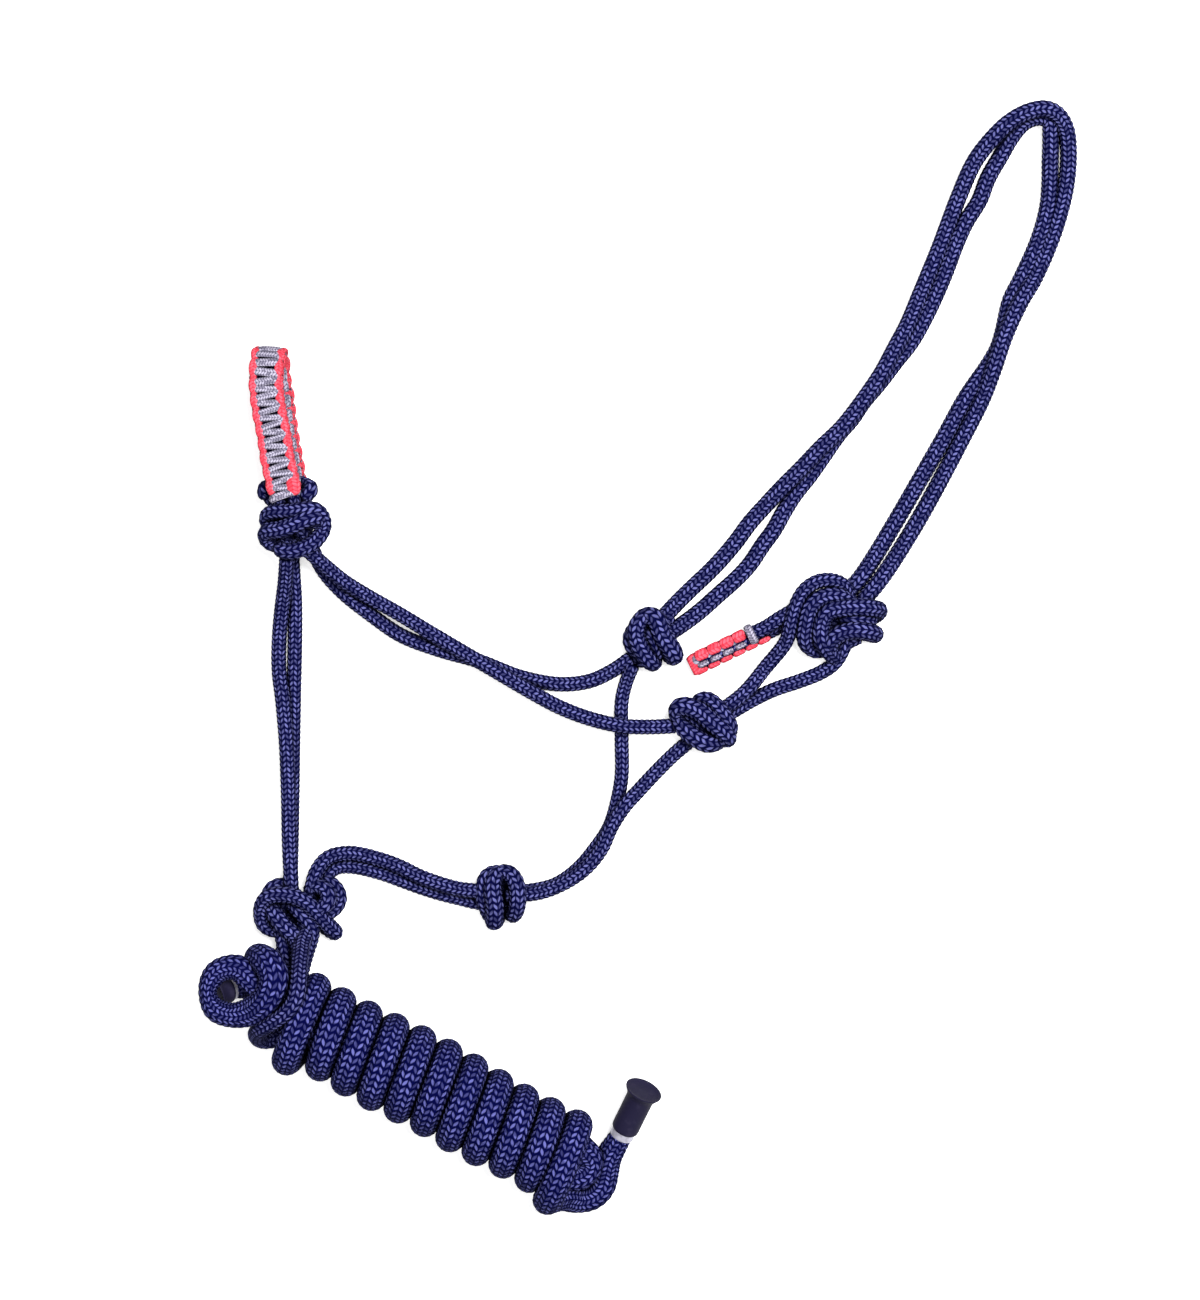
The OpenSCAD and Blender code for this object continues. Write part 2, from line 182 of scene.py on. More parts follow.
def lathe_piece(name, profile, at, heading, slot, sides=72):
    """A turned piece. Its profile holds pairs of a place along the axis and a radius."""
    z = unit(heading)
    x = unit(np.cross([0, 0, 1], z))
    y = np.cross(z, x)
    angle = 2 * np.pi * np.arange(sides) / sides
    ring = np.cos(angle)[:, None] * x + np.sin(angle)[:, None] * y
    verts = [np.asarray(at) + a * z + max(r, 0.01) * ring for a, r in profile]
    faces, uv = [], []
    for i in range(len(profile) - 1):
        for j in range(sides):
            k = (j + 1) % sides
            faces.append([i * sides + j, i * sides + k, (i + 1) * sides + k, (i + 1) * sides + j])
            uv += [(j / sides, i), ((j + 1) / sides, i), ((j + 1) / sides, i + 1), (j / sides, i + 1)]
    last = (len(profile) - 1) * sides
    faces += [list(range(sides))[::-1], list(range(last, last + sides))]
    uv += [(0, 0)] * (2 * sides)
    return mesh_piece(name, np.vstack(verts), faces, uv, slot)


# ---------------------------------------------------------------- materials
class Graph:
    """Short calls for building a node material."""

    def __init__(self, name):
        self.mat = bpy.data.materials.new(name)
        self.mat.use_nodes = True
        self.tree = self.mat.node_tree
        self.shader = self.tree.nodes["Principled BSDF"]

    def node(self, kind, **settings):
        node = self.tree.nodes.new(kind)
        for key, value in settings.items():
            setattr(node, key, value)
        return node

    def link(self, socket, value):
        if isinstance(value, bpy.types.NodeSocket):
            self.tree.links.new(value, socket)
        else:
            socket.default_value = value

    def math(self, op, *values):
        node = self.node("ShaderNodeMath", operation=op)
        for socket, value in zip(node.inputs, values):
            self.link(socket, value)
        return node.outputs[0]

    def smooth(self, value, low, high, to_low=0.0, to_high=1.0):
        node = self.node("ShaderNodeMapRange", interpolation_type="SMOOTHSTEP")
        for socket, v in zip(node.inputs, (value, low, high, to_low, to_high)):
            self.link(socket, v)
        return node.outputs[0]

    def mix(self, factor, a, b):
        node = self.node("ShaderNodeMix", data_type="RGBA")
        self.link(node.inputs["Factor"], factor)
        self.link(node.inputs[6], a)
        self.link(node.inputs[7], b)
        return node.outputs[2]

    def noise(self, scale, detail=3.0):
        where = self.node("ShaderNodeTexCoord").outputs["Object"]
        node = self.node("ShaderNodeTexNoise")
        self.link(node.inputs["Vector"], where)
        self.link(node.inputs["Scale"], scale)
        self.link(node.inputs["Detail"], detail)
        return node.outputs["Fac"]

    def crease(self, reach):
        """Painted shade from ambient occlusion: from 0 deep in a crease between two ropes to 1 out in the
        open.
        """
        node = self.node("ShaderNodeAmbientOcclusion", samples=8)
        node.inputs["Distance"].default_value = reach * MM
        return self.smooth(node.outputs["AO"], 0.22, 0.8)

    def bump(self, height, distance):
        node = self.node("ShaderNodeBump")
        self.link(node.inputs["Strength"], 1.0)
        self.link(node.inputs["Distance"], distance * MM)
        self.link(node.inputs["Height"], height)
        self.link(self.shader.inputs["Normal"], node.outputs[0])

    def braid(self):
        """The braid's height, the place across its yarns, and each yarn's number and lean."""
        m = self.math
        uv = self.node("ShaderNodeUVMap", uv_map="braid").outputs[0]
        xyz = self.node("ShaderNodeSeparateXYZ")
        self.link(xyz.inputs[0], uv)
        x, y = xyz.outputs[0], xyz.outputs[1]
        column = m("FLOOR", x)
        place = m("SUBTRACT", x, column)
        lean = m("MULTIPLY_ADD", m("FLOORED_MODULO", column, 2.0), -2.0, 1.0)
        row = m("MULTIPLY_ADD", m("MULTIPLY", lean, SLANT), m("SUBTRACT", place, 0.5), y)
        count = m("FLOOR", row)
        across = m("SUBTRACT", row, count)
        hump = m("SINE", m("MULTIPLY", across, math.pi))
        rise = m("POWER", m("MAXIMUM", m("SINE", m("MULTIPLY", place, math.pi)), 0.0), BLUNT)
        return m("MULTIPLY", hump, rise), across, m("MULTIPLY_ADD", column, 7.31, count), lean


# The near black of the painted shade in a crease between two ropes, and how near the ropes have to be
CREASE_SHADE, CREASE_SHADE_REACH = (0.0003, 0.0003, 0.004, 1), 6.0


def braided(name, dark, light, relief, edges, rough, spread, strands=4.0):
    """Braided yarns: painted shade between them and painted sheen on top, the yarns of one lean dimmed
    in patches, and painted shade in the creases between ropes. The edges are the heights where the
    painted shade turns to the painted sheen, and spread is how far the yarns differ in tone."""
    g = Graph(name)
    m = g.math
    height, across, yarn, lean = g.braid()
    random = g.node("ShaderNodeTexWhiteNoise", noise_dimensions="1D")
    g.link(random.inputs["W"], yarn)
    fibre = m("SINE", m("MULTIPLY", across, 2 * math.pi * strands))
    patch = g.noise(420.0)
    # Painted sheen on the yarns' tops and painted shade between them, from the yarns' height
    painted_sheen_and_shade = g.smooth(height, *edges)
    tone = m("MULTIPLY_ADD", random.outputs["Value"], spread, 1.0 - spread / 2)
    tone = m("MULTIPLY", tone, m("MULTIPLY_ADD", patch, 0.6, 0.7))
    tone = m("MULTIPLY", tone, m("MULTIPLY_ADD", fibre, 0.08, 0.95))
    # The yarns of one lean are dimmed in patches, the lean changing from patch to patch
    side = m("MULTIPLY", lean, m("SUBTRACT", g.noise(160.0, 1.0), 0.5))
    patch_tone = g.smooth(side, -0.03, 0.08, 1.0, 0.35)
    tone = m("MULTIPLY", tone, patch_tone)
    colour = g.mix(m("MULTIPLY", painted_sheen_and_shade, tone), dark, light)
    # Painted shade: the colour goes near black in the creases between ropes
    g.link(g.shader.inputs["Base Color"], g.mix(g.crease(CREASE_SHADE_REACH), CREASE_SHADE, colour))
    g.shader.inputs["Roughness"].default_value = rough
    g.shader.inputs["Specular IOR Level"].default_value = 0.02
    g.bump(m("MULTIPLY_ADD", fibre, 0.06, height), relief)
    return g.mat


def moulded(name, colour, patch_tone, rough):
    """Matte moulded plastic with a fine grain and lighter scuffs."""
    g = Graph(name)
    grain, scuff = g.noise(2600.0, 2.0), g.noise(190.0, 5.0)
    g.link(g.shader.inputs["Base Color"], g.mix(g.smooth(scuff, 0.52, 0.75), colour, patch_tone))
    g.link(g.shader.inputs["Roughness"], g.math("MULTIPLY_ADD", scuff, 0.25, rough - 0.12))
    g.shader.inputs["Specular IOR Level"].default_value = 0.15
    g.bump(g.math("MULTIPLY_ADD", scuff, 0.5, grain), 0.05)
    return g.mat


def crimped(name, colour):
    """A pressed silver band with small dents, its colour darker in the dents as painted shade."""
    g = Graph(name)
    dents, fine = g.noise(420.0, 2.0), g.noise(1800.0, 3.0)
    dark = tuple(0.75 * c for c in colour[:3]) + (1,)
    # Painted shade: the colour darkens where the dents sink
    g.link(g.shader.inputs["Base Color"], g.mix(g.smooth(dents, 0.35, 0.6), dark, colour))
    g.shader.inputs["Metallic"].default_value = 0.35
    g.link(g.shader.inputs["Roughness"], g.math("MULTIPLY_ADD", fine, 0.3, 0.25))
    g.bump(g.math("MULTIPLY_ADD", dents, 2.0, fine), 0.12)
    return g.mat


def halter_rope():
    # dark shows as painted shade between the yarns, light as painted sheen on their tops
    dark, light = (0.0006, 0.0010, 0.026, 1), (0.098, 0.102, 0.272, 1)
    return braided("navy_rope", dark, light, relief=0.5, edges=(0.40, 0.88), rough=0.75, spread=0.75)


def lead_rope():
    # dark shows as painted shade between the yarns, light as painted sheen on their tops
    dark, light = (0.0005, 0.0010, 0.034, 1), (0.098, 0.103, 0.310, 1)
    return braided("navy_lead", dark, light, relief=0.7, edges=(0.40, 0.88), rough=0.75, spread=0.75,
                   strands=5.0)


def grey_cord():
    # dark shows as painted shade between the cord's yarns, light as painted sheen on their tops
    dark, light = (0.05, 0.045, 0.078, 1), (0.38, 0.355, 0.45, 1)
    return braided("grey_cord", dark, light, relief=0.12, edges=(0.05, 0.6), rough=0.7, spread=0.2,
                   strands=2.0)


def coral_cord():
    # dark shows as painted shade between the cord's yarns, light as painted sheen on their tops
    dark, light = (0.48, 0.022, 0.040, 1), (0.76, 0.10, 0.14, 1)
    return braided("coral_cord", dark, light, relief=0.1, edges=(0.05, 0.6), rough=0.7, spread=0.2,
                   strands=2.0)


def end_cap():
    return moulded("plum_rubber", (0.0072, 0.0058, 0.023, 1), (0.014, 0.0115, 0.032, 1), 0.75)


def ferrule():
    return crimped("silver_band", (0.42, 0.41, 0.49, 1))


MAKERS = {
    "halter_rope": halter_rope, "lead_rope": lead_rope, "grey_cord": grey_cord,
    "coral_cord": coral_cord, "end_cap": end_cap, "ferrule": ferrule,
}
MATERIALS = {}


def material(slot):
    """The slot's material, made the first time a piece asks for it."""
    if slot not in MATERIALS:
        MATERIALS[slot] = MAKERS[slot]()
    return MATERIALS[slot]


# ---------------------------------------------------------------- camera, floor and lights
# In metres, the place from which the camera looks straight down, and the floor's reach
CAMERA_AT = (-0.032, -0.036, 1.6)
FLOOR_REACH = 4.0
# In millimetres, the height of the camera's sensor and the length of its lens
SENSOR_HEIGHT, LENS = 24.0, 60.96


def make_camera():
    data = bpy.data.cameras.new("camera")
    data.sensor_fit = "VERTICAL"
    data.sensor_height = SENSOR_HEIGHT
    data.lens = LENS
    data.clip_end = 20.0
    camera = bpy.data.objects.new("camera", data)
    camera.location = CAMERA_AT
    bpy.context.scene.collection.objects.link(camera)
    bpy.context.scene.camera = camera


def make_floor():
    """A plain pale floor that is bright enough to read as white."""
    me = bpy.data.meshes.new("floor")
    r = FLOOR_REACH
    me.from_pydata([(-r, -r, 0), (r, -r, 0), (r, r, 0), (-r, r, 0)], [], [(0, 1, 2, 3)])
    g = Graph("floor")
    g.shader.inputs["Base Color"].default_value = (0.72, 0.72, 0.72, 1)
    g.shader.inputs["Emission Color"].default_value = (1, 1, 1, 1)
    g.shader.inputs["Emission Strength"].default_value = 0.6
    g.shader.inputs["Roughness"].default_value = 0.9
    g.shader.inputs["Specular IOR Level"].default_value = 0.1
    me.materials.append(g.mat)
    floor = bpy.data.objects.new("floor", me)
    floor.visible_diffuse = False
    bpy.context.scene.collection.objects.link(floor)


def make_light(name, at, size, watts):
    """A soft round light that points at the middle of the floor."""
    data = bpy.data.lights.new(name, "AREA")
    data.shape = "DISK"
    data.size = size
    data.energy = watts
    light = bpy.data.objects.new(name, data)
    light.location = at
    light.rotation_euler = (-Vector(at)).to_track_quat("-Z", "Y").to_euler()
    bpy.context.scene.collection.objects.link(light)


def make_stage():
    make_floor()
    world = bpy.data.worlds.new("studio")
    bpy.context.scene.world = world
    world.use_nodes = True
    background = world.node_tree.nodes["Background"]
    background.inputs["Color"].default_value = (1, 1, 1, 1)
    background.inputs["Strength"].default_value = 0.25
    make_light("key", (0.55, 0.4, 2.3), 0.9, 112)
    make_light("fill", (-0.6, -0.5, 2.4), 1.2, 24)
    bpy.context.scene.view_settings.view_transform = "Standard"


# ---------------------------------------------------------------- the lead rope
# The hank's axis runs from HANK_AT along HANK_ALONG, and its turns lie across it
HANK_AT = np.array([-176.5, -212.0, 24.8])
HANK_ALONG = np.array([0.8838, -0.4679, 0.0])
HANK_ACROSS = np.array([0.4679, 0.8838, 0.0])
HANK_TURNS, HANK_PITCH = 11, 14.1
# Where the rope's middle lies in a turn: above and below the axis, and at its two edges
HANK_HIGH, HANK_UPPER, HANK_LOWER = 17.4, 18.0, -15.2
# How far along a turn's lower edge lies from its upper edge
HANK_LEAN = 5.4
# How much further the first and last turns sag at their lower edge
HANK_SAG = 4.5
# How many points make each half of a turn
HALF_TURN = 9


def hank(along, across, z):
    """A place given along the hank, across it and above its axis."""
    return HANK_AT + along * HANK_ALONG + across * HANK_ACROSS + np.array([0, 0, z])


def hank_turns():
    """Each turn goes from its upper edge over to its lower edge and back underneath."""
    edges = []
    for k in range(HANK_TURNS):
        at = 1 + k * HANK_PITCH
        sag = HANK_SAG if k in (0, HANK_TURNS - 1) else 0
        edges.append((at, HANK_UPPER + math.sin(0.9 * k + 3.6)))
        edges.append((at + HANK_LEAN - 0.3 * sag, HANK_LOWER - sag + 0.5 * math.sin(1.7 * k)))
    points = []
    for k, (here, there) in enumerate(zip(edges, edges[1:])):
        for step in range(HALF_TURN):
            angle = math.pi * step / HALF_TURN
            part = (1 - math.cos(angle)) / 2
            along = here[0] + (there[0] - here[0]) * (0.35 * step / HALF_TURN + 0.65 * part)
            across = here[1] + (there[1] - here[1]) * part
            points.append(hank(along, across, (-1) ** k * HANK_HIGH * math.sin(angle)))
    return points + [hank(*edges[-1], 0)]


# From the capped end inside the eye, through the hank, round the eye and into the turns
LEAD_IN = [
    (-208.5, -197.5, 21.5), (-202, -197, 19), (-194.5, -199.5, 18.5), (-187, -202.5, 19),
    (-180, -206.5, 20), (-173, -214, 24),
]
LEAD_EYE = [
    (-173.5, -209, 28), (-186, -203, 33), (-196, -193, 34.5), (-204.5, -186.5, 34.5),
    (-213.5, -188.5, 35), (-218, -197.5, 36), (-214.5, -206, 36), (-206, -209, 36),
    (-196, -206.5, 38), (-188.5, -200, 43), (-185.5, -191, 44), (-188.5, -184.5, 40),
    (-193.5, -182.5, 31), (-194.5, -184.5, 20.5), (-189, -189.5, 14), (-181, -195.5, 13),
    (-174, -199, 14), (-168.5, -199, 17),
]
LEAD_FREE = [
    (-50, -298, 15), (-43.5, -300, 9.5), (-36.5, -299.2, 7.8), (-31.5, -294.5, 7.6),
    (-29.8, -287.5, 8), (-28.3, -281, 9.5), (-25, -274.8, 11), (-21.5, -269, 12.5),
]
# The way the caps point, how long each cap and its band are, and the gap under the cap
FREE_HEADING, FREE_CAP, FREE_BAND, FREE_GAP = (10, 22, 11), 24.6, 4.5, 3.2
EYE_HEADING, EYE_CAP, EYE_BAND, EYE_GAP = (-7, -2.5, 6), 9.5, 2.4, 1.2
# Places where the rope flattens: where, how wide it still is, and how high
EYE_SQUEEZE = [
    ((-220.5, -199, 36), 0.6, 1.05), ((-208, -211, 36), 0.85, 1.0), ((-210, -188, 34.5), 0.85, 1.0),
]
# How far each squeeze reaches along the rope, and how much a cap squeezes the rope's end
EYE_REACH, CAP_REACH, CAP_SQUEEZE = 9.0, 12, 0.22


def lead_route():
    """From cap to cap: in through the hank and back, round the eye, the turns, the free end."""
    core_out = [hank(a, -5, -1) for a in (20, 50, 80, 110, 132)]
    core_turn = [hank(139, -8, -3), hank(147.5, -7.5, -6), hank(155, -3.5, -8),
                 hank(155.5, 4, -8), hank(148, 8, -5), hank(139, 7, -1)]
    core_back = [hank(a, 5, 1) for a in (132, 110, 80, 50, 20)]
    return LEAD_IN + core_out + core_turn + core_back + LEAD_EYE + hank_turns() + LEAD_FREE


def lead_sizes(line):
    """Half the rope's width and height at each point, squeezed at its caps and in the eye."""
    wide = np.full(len(line), LEAD_D / 2)
    high = np.full(len(line), LEAD_D / 2)
    for end in (line[0], line[-1]):
        pull = np.exp(-(np.linalg.norm(line - end, axis=1) / CAP_REACH) ** 2)
        wide *= 1 - CAP_SQUEEZE * pull
        high *= 1 - CAP_SQUEEZE * pull
    for at, across, tall in EYE_SQUEEZE:
        gap = np.linalg.norm(line - np.array(at, float), axis=1)
        pull = np.exp(-(gap / EYE_REACH) ** 2)
        wide *= 1 - (1 - across) * pull
        high *= 1 + (tall - 1) * pull
    return wide, high


def make_lead():
    line = spline(lead_route(), LEAD_LAY / 3, 3)
    wide, high = lead_sizes(line)
    lead = tubes_piece("lead_rope", [tube(line, wide, high, LEAD_COLUMNS, 3, LEAD_RELIEF)], "lead_rope")
    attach(lead, "lead")
    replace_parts(lead, "lead_eye", "lead_hank", "lead_core_end", "lead_free_end")
    ends = [
        cap_piece("end_cap_free", line[-1], FREE_HEADING, FREE_CAP, FREE_GAP),
        band_piece("ferrule_free", line[-1], FREE_HEADING, FREE_BAND),
        cap_piece("end_cap_eye", line[0], EYE_HEADING, EYE_CAP, EYE_GAP),
        band_piece("ferrule_eye", line[0], EYE_HEADING, EYE_BAND),
    ]
    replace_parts(ends[0], "end_caps")
    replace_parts(ends[1], "end_ferrules")


def cap_piece(name, at, heading, length, gap):
    """A moulded sleeve with a flared rim and a dished end, set a gap past the rope's end."""
    at = np.asarray(at) + gap * unit(heading)
    profile = [
        (0, 0), (0, 5.6), (0.25, 6.1), (0.9, 6.5), (1.8, 6.65), (3.0, 6.7),
        (length * 0.4, 6.65), (length - 5.2, 6.7), (length - 4.0, 6.95), (length - 2.6, 7.6),
        (length - 1.3, 8.5), (length - 0.5, 9.0), (length - 0.1, 9.05), (length, 8.85),
        (length - 0.2, 8.3), (length - 0.8, 7.5), (length - 1.2, 6.5), (length - 1.4, 5.0),
        (length - 1.4, 2.5), (length - 1.4, 0),
    ]
    cap = lathe_piece(name, profile, at, heading, "end_cap")
    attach(cap, "lead")
    return cap


def band_piece(name, at, heading, length):
    """A pressed band, which starts a little before the rope's end."""
    at = np.asarray(at) - 0.6 * unit(heading)
    profile = [
        (0, 0), (0, 5.6), (0.2, 5.85), (0.6, 5.95), (length * 0.4, 5.8), (length * 0.6, 5.8),
        (length - 0.5, 5.9), (length - 0.1, 5.8), (length, 5.4), (length, 0),
    ]
    band = lathe_piece(name, profile, at, heading, "ferrule")
    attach(band, "lead")
    return band


# ---------------------------------------------------------------- the halter's strands
def rope(name, route, body, stands_for=(), diameter=ROPE_D, soften=6, swing=None):
    """A strand of the halter's rope: it rides on one body, or, when it has a swing, is left unattached
    with its place baked into its mesh.
    """
    line = spline(route, ROPE_LAY / 4, soften)
    r = diameter / 2
    obj = tubes_piece(name, [tube(line, r, r, ROPE_COLUMNS, 4, ROPE_RELIEF)], "halter_rope")
    if swing:
        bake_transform(obj)
    else:
        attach(obj, body)
    if stands_for:
        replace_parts(obj, *stands_for)
    return obj


# The halter's strands, from knot to knot
STRANDS = {
    "nose_fiador_far": [
        (-181, 19, 8), (-180.5, 5, 5), (-179.5, -12, 4), (-179.5, -31, 3.5), (-180, -55, 3.5),
        (-180.5, -84, 3.5), (-181, -118, 3.5), (-181.5, -147, 5), (-181.5, -157, 8),
    ],
    "nose_fiador_near": [
        (-181.5, 8, 24), (-183, -3, 16), (-185.5, -17, 8), (-187, -31, 4.5), (-187, -46, 5),
        (-185, -60, 8.5), (-183, -80, 11), (-182, -104, 11), (-181.5, -128, 11), (-180.5, -146, 13),
        (-180, -157, 14),
    ],
    "nose_cheek_far": [
        (-172, 16, 10), (-166, 3, 5), (-157, -7.5, 3.5), (-142, -19.5, 3.5), (-128, -29, 3.5),
        (-109.5, -36, 3.5), (-90, -41.5, 3.5), (-70.5, -49, 3.5), (-51.5, -52.5, 3.5), (-37, -51, 3.5),
        (-26, -46, 4), (-16.5, -39.5, 7),
    ],
    "nose_cheek_near": [
        (-172, 12, 25), (-165, 5.5, 19), (-155, -3, 13), (-144, -10, 8), (-129, -18.5, 7),
        (-114, -27.5, 10), (-94.5, -39, 11), (-80, -47.5, 11), (-65.5, -56, 10), (-51.5, -63.5, 9),
        (-37, -69, 9.5), (-21.5, -72.5, 11), (-8, -73, 10), (5, -72.5, 9),
    ],
    "throat_far": [
        (-16, -43, 8), (-19.5, -52, 4), (-21.5, -61, 3.5), (-21.5, -79.5, 3.5), (-21.5, -96.5, 3.5),
        (-23.5, -108.5, 3.5), (-27.5, -121.5, 3.5), (-34, -131.5, 3.5), (-43, -142, 3.5),
        (-54, -149.5, 3.5), (-69, -152.5, 6), (-79, -153, 7),
    ],
    "throat_near": [
        (11, -80, 8), (3, -87, 6), (-6, -96, 6), (-13.5, -104, 7.5), (-20, -111, 10.5),
        (-26.5, -121, 11), (-31.5, -132, 11), (-39.5, -141.5, 11), (-50, -148.5, 11),
        (-60.5, -152.5, 11), (-69, -153.5, 13), (-78, -154, 13),
    ],
    "chin_near": [
        (-173, -160, 13), (-170.8, -152, 14), (-168.5, -143, 13), (-163, -136, 10), (-152.5, -134, 7),
        (-138.5, -137, 6), (-128.5, -140.5, 7.5), (-119, -145, 9.5), (-109, -148.5, 11),
        (-99.5, -151, 11), (-90, -152, 12), (-80, -153, 13),
    ],
    "chin_far": [
        (-170, -158, 8), (-167.5, -151, 8.5), (-164.5, -145.5, 8), (-159.5, -141, 5.5),
        (-152, -140.5, 4), (-138.5, -143.5, 3.5), (-128.5, -147, 3.5), (-119, -150.5, 3.5),
        (-109.5, -153.5, 3.5), (-99.5, -156, 3.5), (-90, -158, 4.5), (-80, -157, 6),
    ],
}

# The crown's two strands, and the halter's tail
CROWN_OUTER = [
    (-2, -21, 8), (3.5, -15, 5), (11.5, -7, 4), (23.5, 4.5, 3.5), (33.5, 16, 3.5),
    (40.5, 25.5, 3.5), (49.5, 35.5, 4), (57, 43.5, 7), (65.5, 52, 9.5), (74.5, 61.5, 10.8),
    (84, 70.5, 10.8), (90.5, 78.5, 10.8), (96, 86, 10.8), (103.5, 97, 10.8), (110, 109, 9),
    (116.5, 121, 6), (122.5, 135, 3.5), (127.5, 147, 3.5), (132, 158, 3.5), (136.5, 170, 3.5),
    (141, 182, 4), (149, 200, 5), (157, 210.5, 9), (165, 218, 12), (173.5, 222.5, 14),
    (182, 224, 14), (188, 221.5, 12), (192.5, 215, 9), (194, 205, 7), (193.5, 191, 5),
    (191, 178, 4), (186, 162, 3.5), (177.5, 143, 5), (171, 132.5, 9), (164, 118, 10.8),
    (161, 110, 10.8), (158.5, 102, 10), (153, 86, 4.5), (143, 66, 3.5), (132.5, 46, 3.5),
    (122, 27, 3.5), (110, 7.5, 4), (102.5, -3, 7), (95, -12, 8), (87, -22, 7),
]
CROWN_INNER = [
    (0, -28.5, 8), (6.5, -24.5, 5), (16, -17.5, 3.5), (25, -9.5, 3.5), (34, -1.5, 3.5),
    (40.5, 5.5, 3.5), (46.5, 14.5, 3.5), (52, 22, 3.5), (57, 31, 3.5), (62, 39, 3.5),
    (69.5, 48.5, 3.5), (76.5, 58.5, 3.5), (83.5, 68.5, 3.5), (90, 76, 3.5), (95, 83.5, 3.5),
    (103, 93, 3.5), (111, 103.5, 3.5), (118.5, 113, 3.5), (125, 124.5, 3.5), (130.5, 136, 3.5),
    (135.5, 148, 3.5), (140, 160, 3.5), (145, 171, 3.5), (151.5, 181.5, 3.5), (155.5, 192, 3.5),
    (161.5, 202.5, 3.5), (167, 212, 3.5), (172.5, 218.5, 5), (178.5, 221, 7), (184.5, 219.5, 8),
    (185.5, 211.5, 7), (185.5, 200, 5), (185.5, 190, 4), (184.5, 178, 3.5), (180, 162, 3.5),
    (171.5, 143, 3.5), (166.5, 133, 3.5), (163, 118, 3.5), (160.5, 110, 3.5), (156, 102, 3.5),
    (145, 86, 3.5), (134, 66, 3.5), (122.5, 46, 3.5), (111.5, 27, 3.5), (100, 8, 4), (93, -2, 7),
    (84, -12, 6), (78, -22, 6),
]
TAIL_UPPER = [
    (72, -9, 14), (66, -13.5, 13.5), (60, -17.5, 12.5), (54, -21, 11.5), (48, -25, 10),
    (40.5, -28.5, 8.5),
]
TAIL_LOWER = [
    (72, -15, 7), (66, -19, 6), (60, -22, 5.5), (54, -25, 5), (48, -28, 4.5), (40.5, -31, 4.5),
]

# The tie loop, up one strand, through the crown bend and down the other
TIE_LOOP = [
    (28, -64, 11), (36, -58, 9.5), (41, -53, 8), (47.5, -45, 5), (57.5, -32, 11),
    (59.5, -24.5, 15), (61.5, -16, 17.5), (65.5, -8, 18), (71.5, -3.5, 18), (78.5, -2.5, 17),
    (85, -5, 13), (88.5, -12, 8), (89, -20.5, 5), (87, -29, 6), (85.5, -35, 7), (81.5, -42, 6),
    (75.5, -46.5, 4), (64.5, -51, 3.5), (52.5, -55, 3.5), (42, -60, 3.5), (35, -64, 4.5),
    (28, -68, 7),
]

# The loop that carries the lead rope
FIADOR_LOOP = [
    (-173, -164, 10), (-172.5, -170, 13), (-174.5, -177, 22), (-174.5, -183, 32),
    (-174.5, -189.5, 40), (-174.5, -196, 45), (-176, -202, 46), (-180, -207, 45),
    (-185.5, -211, 42), (-191.5, -214.5, 37), (-195, -217.5, 29), (-196, -221, 20),
    (-194, -223.5, 13.5), (-190, -223.5, 11), (-184.5, -221, 9), (-183, -214.5, 5),
    (-184.5, -205, 4), (-186.5, -195.5, 4), (-186.5, -186.5, 6.5), (-183, -178, 11),
    (-182, -170, 12),
]

